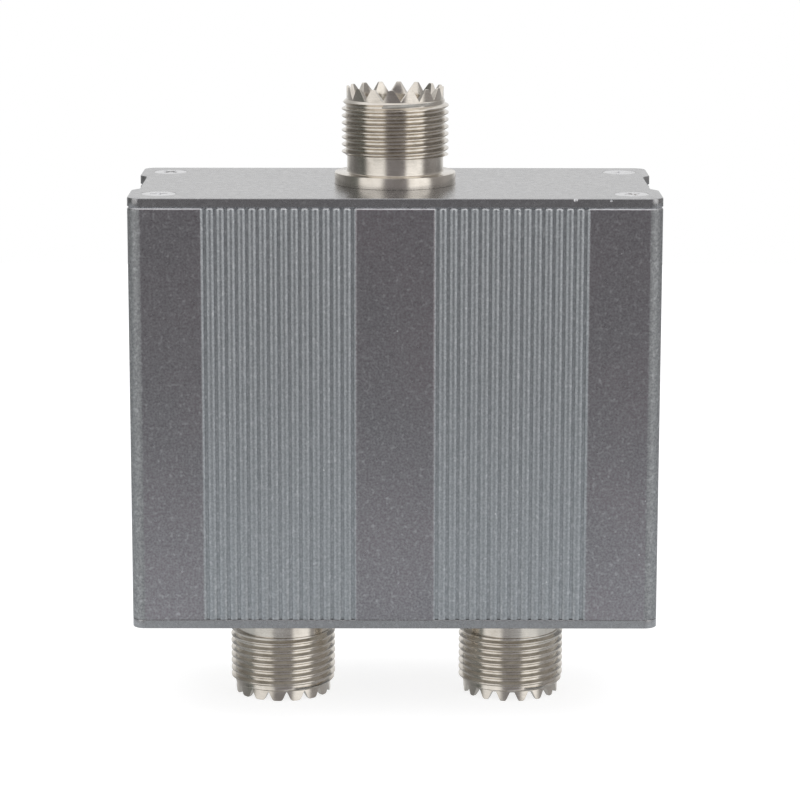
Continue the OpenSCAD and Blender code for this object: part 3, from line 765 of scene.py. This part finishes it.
def rim(radius, notch, lean=0):
    """The toothed rim of a wall that has the given radius at the notches' floor and leans
    outwards from there by lean, in millimetres per millimetre."""
    points = []
    for i in range(COLUMNS):
        tooth, step = divmod(i, PER_TOOTH)
        side = min(step, PER_TOOTH - step)
        middle, depth = notch[side] if side < len(notch) else (None, 0)
        reach = radius + lean * (notch[0][1] - depth)
        offset = math.pi / TEETH if middle is None else math.asin(middle / reach)
        if step > side:
            offset = 2 * math.pi / TEETH - offset
        angle = tooth * 2 * math.pi / TEETH + offset
        points.append((reach * math.cos(angle), reach * math.sin(angle), jack_h - depth))
    return points


# %% Turn a jack's shell
def jack_shell(name, spot, tooth_angle, notch, front_crest):
    """spot places a point of the jack. tooth_angle is where one of its teeth stands, and
    front_crest is the height of the first crest on the side of the housing's front."""
    bm = bmesh.new()
    weights = bm.edges.layers.float.new("bevel_weight_edge")
    start = tooth_angle + 180 / TEETH
    swing = Matrix.Rotation(math.radians(start), 3, "Z")

    def place(x, y, z):
        turned = swing @ Vector((x, y, z))
        if z < 0:
            turned.y = min(turned.y, STEM_FLAT)
        return spot(*turned)

    def loops(rows):
        return [add_loop(bm, [place(*point) for point in row]) for row in rows]

    thread_low = front_crest - BEFORE_CREST
    thread_high = thread_low + THREAD_L
    lower = loops([
        ring(SLEEVE_R, stem_back), ring(STEM_R - STEM_EDGE, stem_back), ring(STEM_R, stem_back + STEM_EDGE),
        ring(STEM_R, -APART), ring(flange_r - SHARP_EDGE, 0), ring(flange_r, SHARP_EDGE),
        ring(flange_r, FLANGE_T - FLANGE_EDGE),
        ring(flange_r - MIDDLE * FLANGE_EDGE, FLANGE_T - MIDDLE * FLANGE_EDGE),
        ring(flange_r - FLANGE_EDGE, FLANGE_T), ring(BARREL_R + FILLET, FLANGE_T),
        ring(BARREL_R + MIDDLE * FILLET, FLANGE_T + MIDDLE * FILLET), ring(BARREL_R, FLANGE_T + FILLET),
        ring(BARREL_R, thread_low - APART),
    ])
    first = front_crest - THREAD[2] * (270 - start) / 360
    bottom, top = cut_thread(bm, COLUMNS, THREAD, thread_low, thread_high, first, place, RUN_OUT_R)
    # The bevel takes TOOTH_EDGE off below the notches, so this ring lies a little further down
    below_notch = jack_h - notch[0][1] - 1.2 * TOOTH_EDGE
    upper = loops([
        ring(MOUTH_R, thread_high + APART), ring(MOUTH_R, below_notch), rim(MOUTH_R, notch),
        rim(BORE_R, notch, MOUTH_LEAN), ring(BORE_R, below_notch), ring(BORE_R, MOUTH_FLOOR),
        ring(SLEEVE_R, MOUTH_FLOOR),
    ])
    join_all(bm, lower + [bottom])
    join_all(bm, [top] + upper + [lower[0]])
    outer, inner = upper[2], upper[3]
    for i in range(COLUMNS):
        after = (i + 1) % COLUMNS
        for pair in ((outer[i], outer[after]), (inner[i], inner[after])):
            bm.edges.get(pair)[weights] = 1.0
    shell = make_piece(name, bm, nickel_finish)
    bevel = shell.modifiers.new("tooth_edges", "BEVEL")
    bevel.width = TOOTH_EDGE * MM
    bevel.segments = 2
    bevel.limit_method = "WEIGHT"
    keep_flats_flat(shell)
    return shell


# %% The three jacks
def antenna_spot(x, y, z):
    return (x, y, plate_z + z)


def spot_below(jack_x):
    """The lower jacks are the same part, turned round the y axis to point down."""
    return lambda x, y, z: (jack_x - x, y, -plate_z - z)


JACKS = {
    "antenna": (antenna_spot, 270 - 4.3, SHARP_NOTCH, 5.0),
    "low_band": (spot_below(low_x), 270 + 5.5, ROUND_NOTCH, 5.3),
    "high_band": (spot_below(high_x), 270 + 10.75, FLAT_NOTCH, 5.3),
}
for jack, (spot, tooth_angle, notch, front_crest) in JACKS.items():
    shell = jack_shell(jack + "_shell", spot, tooth_angle, notch, front_crest)
    dress(shell, jack + "_jack_shell")

# %% [markdown]
# ## Inside a jack's mouth
# A white insulator fills the sleeve and stands up as a round boss. In it sits the centre contact,
# a silvered tube whose end is sawn into four springy tines. The turned shapes are stacks of
# circles again. The slots are cut with two thin blades, as on the real part: a boolean does what
# the saw does, which is simpler here than leaving gaps in the loops.

# %% Turned parts in general
BOSS_R = 4.7
WEB_T = 1.2
CONTACT_R = 2.8
CONTACT_L = 10.7
CONTACT_BORE_R = 2.0
CONTACT_BORE_H = 9.8
TAIL_R = 1.6
# Room between the insulator and the metal round it
SLEEVE_GAP = 0.02
MOUTH_GAP = 0.03
CLOSE_GAP = 0.01

sleeve_back, boss_top = [corner.z - plate_z for corner in node_box("antenna_jack_insulator")]
tail_back, contact_top = [corner.z - plate_z for corner in node_box("antenna_jack_contact")]
web_top = MOUTH_FLOOR + WEB_T
contact_back = contact_top - CONTACT_L


def turned_piece(name, profile, place, finish, hollow, count=72):
    """Turns a profile of (radius, z) round the axis. A hollow one closes on itself, as a washer
    does. Any other starts and ends in a round face."""
    bm = bmesh.new()
    first, last = stack(bm, [(circle((0, 0), radius, count), z) for radius, z in profile], place)
    if hollow:
        join_loops(bm, last, first)
    else:
        bm.faces.new(first)
        bm.faces.new(last)
    return make_piece(name, bm, finish)


def insulator(name, place):
    edge = 0.12
    sleeve_r = SLEEVE_R - SLEEVE_GAP
    mouth_r = BORE_R - MOUTH_GAP
    hole_r = CONTACT_R + CLOSE_GAP
    foot = MOUTH_FLOOR + CLOSE_GAP
    profile = [
        (TAIL_R, sleeve_back), (sleeve_r, sleeve_back), (sleeve_r, foot), (mouth_r, foot),
        (mouth_r, web_top - edge), (BORE_R - edge, web_top), (BOSS_R + edge, web_top),
        (BOSS_R, web_top + edge), (BOSS_R, boss_top - edge * 2),
        (BOSS_R - edge * 0.6, boss_top - edge * 0.6), (BOSS_R - edge * 2, boss_top),
        (CONTACT_R + edge, boss_top), (hole_r, boss_top - edge), (hole_r, contact_back),
        (TAIL_R + CLOSE_GAP, contact_back),
    ]
    return turned_piece(name, profile, place, insulator_finish, hollow=True)


print("the boss stands", round(boss_top - web_top, 2), "mm over the web")


# %% A saw
def blade(place, low, high):
    """A box between two corners, to cut with."""
    bm = bmesh.new()
    bmesh.ops.create_cube(bm, size=1.0)
    for vert in bm.verts:
        share = vert.co + Vector((0.5, 0.5, 0.5))
        point = [low[k] + (high[k] - low[k]) * share[k] for k in range(3)]
        vert.co = Vector(place(*point)) * MM
    bm.normal_update()
    return make_piece("blade", bm, silver_finish)


def saw(piece, blades):
    """Cuts the blades' shapes out of the piece, and puts the blades away."""
    for cutter in blades:
        cut = piece.modifiers.new("saw", "BOOLEAN")
        cut.operation = "DIFFERENCE"
        cut.solver = "EXACT"
        cut.object = cutter
    bpy.context.view_layer.update()
    graph = bpy.context.evaluated_depsgraph_get()
    sawn = bpy.data.meshes.new_from_object(piece.evaluated_get(graph))
    piece.modifiers.clear()
    piece.data = sawn
    for cutter in blades:
        bpy.data.objects.remove(cutter)
    piece.data.shade_smooth()
    piece.data.set_sharp_from_angle(angle=math.radians(32))


def turned_by(place, degrees):
    swing = Matrix.Rotation(math.radians(degrees), 3, "Z")
    return lambda x, y, z: place(*(swing @ Vector((x, y, z))))


# %% Contacts
CUP_R = 1.1
CUP_H = 3.0
CUP_OPEN = 2.1
SLOT_W = 0.5
SLOT_H = 7.0
# A cut exactly through the tube's own corners would leave slivers
PAST_MIDDLE = 0.004


def contact(name, place):
    edge = 0.1
    floor = contact_top - CONTACT_BORE_H
    profile = [
        (CUP_R, tail_back + CUP_H), (CUP_R, tail_back + edge), (CUP_R + edge, tail_back),
        (TAIL_R - edge, tail_back), (TAIL_R, tail_back + edge), (TAIL_R, contact_back),
        (CONTACT_R, contact_back), (CONTACT_R, contact_top - edge), (CONTACT_R - edge, contact_top),
        (CONTACT_BORE_R + edge * 2, contact_top), (CONTACT_BORE_R, contact_top - edge * 2),
        (CONTACT_BORE_R, floor),
    ]
    piece = turned_piece(name, profile, place, silver_finish, hollow=False)
    slot_low = (-2 * CONTACT_R, -SLOT_W / 2, contact_top - SLOT_H)
    slot_high = (2 * CONTACT_R, SLOT_W / 2, contact_top + 1)
    blades = [blade(turned_by(place, degrees), slot_low, slot_high) for degrees in (45, 135)]
    cup_low = (-2 * TAIL_R, -2 * TAIL_R, tail_back - 1)
    blades.append(blade(place, cup_low, (2 * TAIL_R, PAST_MIDDLE, tail_back + CUP_OPEN)))
    saw(piece, blades)
    return piece


for jack, (spot, *_) in JACKS.items():
    dress(insulator(jack + "_insulator", spot), jack + "_jack_insulator")
    dress(contact(jack + "_contact", spot), jack + "_jack_contact")

# %% [markdown]
# ## Screws
# Eight small self-cutting screws hold the plates. Their countersunk heads lie level with the plate,
# and a cross is pressed into each. The flat top of a head is filled between its outer circle and
# the outline of the cross, which goes down in steps that get smaller, as the punch does.

# %% Screws
# Root and crest radius, pitch, and the crest's flat
SCREW_THREAD = (1.02, 1.28, 0.8, 0.06)
SCREW_COLUMNS = 48
SCREW_ENDS = (-8.1, -HEAD_H - 0.6)
SCREW_CREST = -3
# Radius and height, with 0 at the flat top of the head
TIP = [(0.25, -9.0), (0.55, -8.75)]
NECK_AND_HEAD = [
    (1.1, -HEAD_H - 0.5), (1.1, -HEAD_H - 0.2), (HEAD_R - 0.05, -0.12), (HEAD_R, -0.07),
    (HEAD_R - 0.02, -0.02), (HEAD_R - 0.07, 0),
]
# Half length, half width and height of each step of the cross
CROSS_STEPS = [(1.3, 0.3, 0), (1.25, 0.26, -0.08), (0.91, 0.21, -0.64), (0.39, 0.15, -0.8)]
CROSS_TURNS = (8, 52, 31, 74)


def cross(size, width):
    points = []
    for quarter in range(4):
        angle = math.pi / 2 * quarter
        for x, y in ((size, -width), (size, width), (width, width)):
            points.append((x * math.cos(angle) - y * math.sin(angle),
                           x * math.sin(angle) + y * math.cos(angle)))
    return points


def add_screw(bm, place):
    def loops(profile):
        outlines = [(circle((0, 0), radius, SCREW_COLUMNS), z) for radius, z in profile]
        return [add_loop(bm, [place(x, y, z) for x, y in outline]) for outline, z in outlines]

    tip = loops(TIP)
    bottom, top = cut_thread(bm, SCREW_COLUMNS, SCREW_THREAD, *SCREW_ENDS, SCREW_CREST, place)
    head = loops(NECK_AND_HEAD)
    join_all(bm, tip + [bottom])
    join_all(bm, [top] + head)
    bm.faces.new(tip[0])
    mouth, floor = stack(bm, [(cross(size, width), z) for size, width, z in CROSS_STEPS], place)
    bm.faces.new(floor)
    fill_between(bm, [head[-1], mouth])


def plate_screws(name, plate_place):
    bm = bmesh.new()
    for (cx, cy), degrees in zip(screw_spots, CROSS_TURNS):
        def place(x, y, z):
            return plate_place(cx + x, cy + y, plate_t + z)

        add_screw(bm, turned_by(place, degrees))
    return make_piece(name, bm, steel_finish)


dress(plate_screws("screws_top", on_top), "top_plate_screws")
dress(plate_screws("screws_bottom", on_bottom), "bottom_plate_screws")

# %% [markdown]
# ## The filter inside
# The board is there in full, and each of its pieces gets the finish it would have. The coils are
# enamelled wire wound on a rod and slid off. Blender's curves are made for this: one line through
# the wire's middle, with a round profile, gives an unbroken wire. The turns come from one formula.

# %% Enamelled wire
def enamelled_wire():
    recipe = mottled("enamelled_wire", 1.0, 0.3, (0.5, 2.0), (0.40, 0.12, 0.05), (0.60, 0.22, 0.09))
    recipe.bump(recipe.noise(0.2, 1.0), 0.004)
    recipe.shader.inputs["Coat Weight"].default_value = 0.8
    recipe.shader.inputs["Coat Roughness"].default_value = 0.12
    return recipe.material


wire_finish = enamelled_wire()
print("finishes so far:", len(bpy.data.materials))

# %% Coils
COIL_LIFT = 1.0
COPPER_FACE = -0.9
LEAD_END = 1.8
STEPS_PER_TURN = 32


def coil(name, spot, degrees, radius, turns, wire, pitch):
    """An air-wound coil whose axis lies over the board, with a leg down at each end."""
    length = (turns + 0.5) * pitch
    axis_y = COPPER_FACE - COIL_LIFT - wire / 2 - radius
    leg = LEAD_END - axis_y
    count = round((turns + 0.5) * STEPS_PER_TURN)
    path = [(-length / 2, leg, radius)]
    for i in range(count + 1):
        angle = 2 * math.pi * i / STEPS_PER_TURN
        path.append((-length / 2 + length * i / count, -radius * math.sin(angle), radius * math.cos(angle)))
    path.append((length / 2, leg, -radius))
    lay = Matrix.Rotation(math.radians(-degrees), 3, "Y")
    curve = bpy.data.curves.new(name, "CURVE")
    curve.dimensions = "3D"
    curve.bevel_depth = wire / 2 * MM
    curve.bevel_resolution = 4
    curve.use_fill_caps = True
    line = curve.splines.new("POLY")
    line.points.add(len(path) - 1)
    for point, place in zip(line.points, path):
        moved = lay @ Vector(place) + Vector((spot[0], axis_y, spot[1]))
        point.co = (*(moved * MM), 1.0)
    curve.materials.append(wire_finish)
    piece = bpy.data.objects.new(name, curve)
    scene.collection.objects.link(piece)
    return piece


# Each coil's place over the board and its turn
LOW_COILS = {"in": ((-11, 10.5), 180), "middle": ((-25, 3.5), -90), "out": ((-17.5, -9), 0)}
HIGH_COILS = {"in": ((24.5, 11.5), 0), "out": ((26.5, -6), 0)}
# Radius, turns, wire and pitch
LOW_WINDING = (3.4, 4, 1.0, 1.7)
HIGH_WINDING = (2.4, 2, 0.8, 1.5)
for band, coils, winding in (("low", LOW_COILS, LOW_WINDING), ("high", HIGH_COILS, HIGH_WINDING)):
    for end, (spot, degrees) in coils.items():
        wound = coil(f"{band}_coil_{end}", spot, degrees, *winding)
        dress(wound, f"{band}_pass_coil_{end}")

# %% [markdown]
# The disc capacitors are dipped in a resin that gathers round their leads. Here each is a soft disc
# with two straight leads. Board, copper, lugs, nuts, leads and screen already have their true shape
# in the model, so they stay, and only their finish is made here.

# %% Capacitors
def dipped_resin():
    recipe = mottled("dipped_resin", 0.0, 0.35, (0.8, 3.0), (0.60, 0.28, 0.08), (0.74, 0.42, 0.17))
    recipe.bump(recipe.noise(0.7, 2.0), 0.03)
    return recipe.material


resin_finish = dipped_resin()
tin_finish = turned_metal("tinned_metal", (0.72, 0.73, 0.74), (0.56, 0.57, 0.58), 0.34, 0.004)
DISC_R = 2.5
DISC_HALF = 0.9
LEAD_GAP = 3.4
LEAD_R = 0.3
DISC_LIFT = 0.8
DISC_EDGE = 0.7
LEAD_TOP = 1.2


def add_capacitor(bm, spot, degrees):
    """Adds the disc, and then its leads, whose faces take the second finish."""
    disc_y = COPPER_FACE - DISC_LIFT - DISC_R
    lay = Matrix.Rotation(math.radians(-degrees), 3, "Y")

    def place(x, y, z):
        moved = lay @ Vector((x, disc_y + y, z))
        return (moved.x + spot[0], moved.y, moved.z + spot[1])

    levels = []
    for i in range(9):
        angle = math.radians(-80 + 20 * i)
        radius = DISC_R - DISC_EDGE + DISC_EDGE * math.cos(angle)
        levels.append((circle((0, 0), radius, 40), DISC_HALF * math.sin(angle)))
    for end in stack(bm, levels, place):
        bm.faces.new(end)
    made = len(bm.faces)
    for side in (-1, 1):
        lead = circle((side * LEAD_GAP / 2, 0), LEAD_R, 16)
        ends = [add_loop(bm, [place(x, y, z) for x, z in lead]) for y in (LEAD_TOP, LEAD_END - disc_y)]
        join_all(bm, ends)
        for end in ends:
            bm.faces.new(end)
    bm.faces.ensure_lookup_table()
    for face in bm.faces[made:]:
        face.material_index = 1


def capacitors(name, spots):
    bm = bmesh.new()
    for spot, degrees in spots:
        add_capacitor(bm, spot, degrees)
    piece = make_piece(name, bm, resin_finish, sharp=50)
    piece.data.materials.append(tin_finish)
    return piece


shunt_spots = [((-17.5, 2), -60), ((-29.2, -10), -90)]
series_spots = [((7, 11.5), 0), ((14, 3.5), -90), ((17.3, -11.5), -90)]
dress(capacitors("shunt_discs", shunt_spots), "shunt_capacitors")
dress(capacitors("series_discs", series_spots), "series_capacitors")


# %% Board, copper and small metal parts
def board_laminate():
    recipe = Recipe("board_laminate", 0.0, 0.45)
    inputs = {"Vector": recipe.place, "Scale": 1.1, "Distortion": 0.6}
    threads = [recipe.add("ShaderNodeTexWave", {"bands_direction": axis}, inputs) for axis in "XZ"]
    weave = recipe.maths("MULTIPLY", threads[0].outputs["Fac"], threads[1].outputs["Fac"])
    recipe.use("Base Color", recipe.mix(weave, (0.10, 0.22, 0.13), (0.17, 0.31, 0.20)))
    recipe.bump(weave, 0.01)
    return recipe.material


board_finish = board_laminate()
copper_finish = turned_metal("bare_copper", (0.78, 0.42, 0.27), (0.50, 0.24, 0.14), 0.32, 0.003)
KEPT = {
    "circuit_board": board_finish, "copper_tracks": copper_finish, "earth_foil": copper_finish,
    "earth_leads": tin_finish, "filter_screen": tin_finish,
}
for jack in JACKS:
    KEPT[jack + "_jack_lug"] = tin_finish
    KEPT[jack + "_jack_nut"] = nickel_finish
for node, finish in KEPT.items():
    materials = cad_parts[node].data.materials
    materials.clear()
    materials.append(finish)
print("nodes that keep their own mesh:", len(KEPT))

# %% [markdown]
# ## Light and background
# A metal shows the room more than its own colour. Behind the box is a white backdrop. Towards the
# camera the room is dark, with a tall soft panel on each side. The turned jacks show these as
# upright bands, and the blasted faces as soft changes from strip to rib. One could stand lamps and
# cards around the box, but painting the room on the world by compass direction gives the same
# reflections with less noise.

# %% The room
WHITE = (1.0, 1.0, 1.0)
# Compass direction, with 0 towards the camera, and the colour seen there
ROOM = [
    (-180, (0.90, 0.90, 0.90)), (-164, (0.90, 0.90, 0.90)), (-150, (0.56, 0.56, 0.56)),
    (-130, (0.33, 0.33, 0.33)), (-110, (0.20, 0.20, 0.20)), (-76, (0.13, 0.14, 0.13)),
    (-68, (1.05, 1.04, 1.03)), (-28, (1.08, 1.07, 1.06)), (-19, (0.23, 0.22, 0.23)),
    (22, (0.24, 0.23, 0.24)), (29, (1.26, 1.25, 1.24)), (66, (1.28, 1.27, 1.26)),
    (74, (0.27, 0.26, 0.26)), (110, (0.37, 0.36, 0.36)), (135, (0.38, 0.38, 0.38)),
    (162, (0.86, 0.86, 0.86)), (180, (0.90, 0.90, 0.90)),
]
CEILING = (1.04, 1.04, 1.05)
GROUND = (0.42, 0.43, 0.44)
# Height of a direction, as a sine, where ceiling and ground begin and where they are full
CEILING_FROM = (0.45, 0.85)
GROUND_FROM = (-0.20, -0.55)


def paint_room():
    world = bpy.data.worlds.new("room")
    scene.world = world
    world.use_nodes = True
    world.node_tree.nodes.clear()
    room = Nodes(world.node_tree)
    direction = room.add("ShaderNodeTexCoord").outputs["Generated"]
    parts = room.add("ShaderNodeSeparateXYZ", None, {0: direction}).outputs
    compass = room.maths("ARCTAN2", parts["X"], room.maths("MULTIPLY", parts["Y"], -1.0))
    ramp = room.add("ShaderNodeValToRGB", None, {0: room.spread(compass, -math.pi, math.pi)})
    stops = ramp.color_ramp.elements
    stops.remove(stops[1])
    stops[0].color = (*ROOM[0][1], 1.0)
    for degrees, colour in ROOM[1:]:
        stops.new((degrees + 180) / 360).color = (*colour, 1.0)
    up = room.spread(parts["Z"], *CEILING_FROM, shape="SMOOTHSTEP")
    down = room.spread(parts["Z"], *GROUND_FROM, shape="SMOOTHSTEP")
    colour = room.mix(down, room.mix(up, ramp.outputs[0], CEILING), GROUND)
    colour = room.mix(room.add("ShaderNodeLightPath").outputs["Is Camera Ray"], colour, WHITE)
    light = room.add("ShaderNodeBackground", None, {"Color": colour, "Strength": 1.0}).outputs[0]
    room.add("ShaderNodeOutputWorld", None, {"Surface": light})


paint_room()
scene.view_settings.view_transform = "Standard"

# %% [markdown]
# The floor is a pale card that is lit best near the box and falls into shade further out. The front
# face leans on this: low down it mirrors the near, bright card, and high up the far, dim one, so the
# plain strips grow lighter towards the bottom. To the camera the card is white, save for the box's
# soft shadow. Right under the jacks it is left out of reflections, which keeps their upright bands
# as clear as in the photograph, and from below it cannot be seen, so that the box can.

# %% The floor
FLOOR_HALF = 430
LIT_SHAPE = (0.42, 1.0, 1.0)
LIT = 65
DIM = 270
UNDER = 62
UNDER_BLUR = 20
GLOW = 0.8
# Colours of the painted pool of light on the card, near the box and far out
CARD_LIT = (0.86, 0.90, 0.93)
CARD_DIM = (0.26, 0.26, 0.26)
CARD_SEEN = (0.45, 0.45, 0.45)


def card_finish():
    recipe = Recipe("floor", 0.0, 0.9)
    recipe.tree.nodes.remove(recipe.shader)
    lit = recipe.add("ShaderNodeVectorMath", {"operation": "LENGTH"}, {0: recipe.stretched(LIT_SHAPE)})
    away = recipe.add("ShaderNodeVectorMath", {"operation": "LENGTH"}, {0: recipe.place}).outputs["Value"]
    # Painted pool of light: the card's colour is lighter near the box and falls to painted shade further out
    shade = recipe.mix(recipe.spread(lit.outputs["Value"], LIT, DIM), CARD_LIT, CARD_DIM)
    path = recipe.add("ShaderNodeLightPath").outputs
    below = recipe.add("ShaderNodeNewGeometry").outputs["Backfacing"]
    near = recipe.spread(away, UNDER, UNDER + UNDER_BLUR, 1.0, 0.0)
    under = recipe.maths("MULTIPLY", near, path["Is Glossy Ray"])
    card = recipe.add("ShaderNodeBsdfDiffuse", None, {"Color": shade}).outputs[0]
    nothing = recipe.add("ShaderNodeBsdfTransparent").outputs[0]
    chalk = recipe.add("ShaderNodeBsdfDiffuse", None, {"Color": (*CARD_SEEN, 1.0)}).outputs[0]
    glow = recipe.add("ShaderNodeEmission", None, {"Color": (*WHITE, 1.0), "Strength": GLOW}).outputs[0]
    white = recipe.add("ShaderNodeAddShader", None, {0: chalk, 1: glow}).outputs[0]

    def either(share, first, second):
        return recipe.add("ShaderNodeMixShader", None, {0: share, 1: first, 2: second}).outputs[0]

    above = either(path["Is Camera Ray"], either(under, card, nothing), white)
    surface = recipe.tree.nodes["Material Output"].inputs["Surface"]
    recipe.tree.links.new(either(below, above, nothing), surface)
    return recipe.material


def lay_floor():
    corners = [(-1, -1), (1, -1), (1, 1), (-1, 1)]
    points = [Vector((x * FLOOR_HALF, y * FLOOR_HALF, -plate_z - jack_h)) * MM for x, y in corners]
    mesh = bpy.data.meshes.new("floor")
    mesh.from_pydata(points, [], [(0, 1, 2, 3)])
    mesh.materials.append(card_finish())
    floor = bpy.data.objects.new("floor", mesh)
    scene.collection.objects.link(floor)
    print("the floor faces", "up" if mesh.polygons[0].normal.z > 0 else "down")


lay_floor()
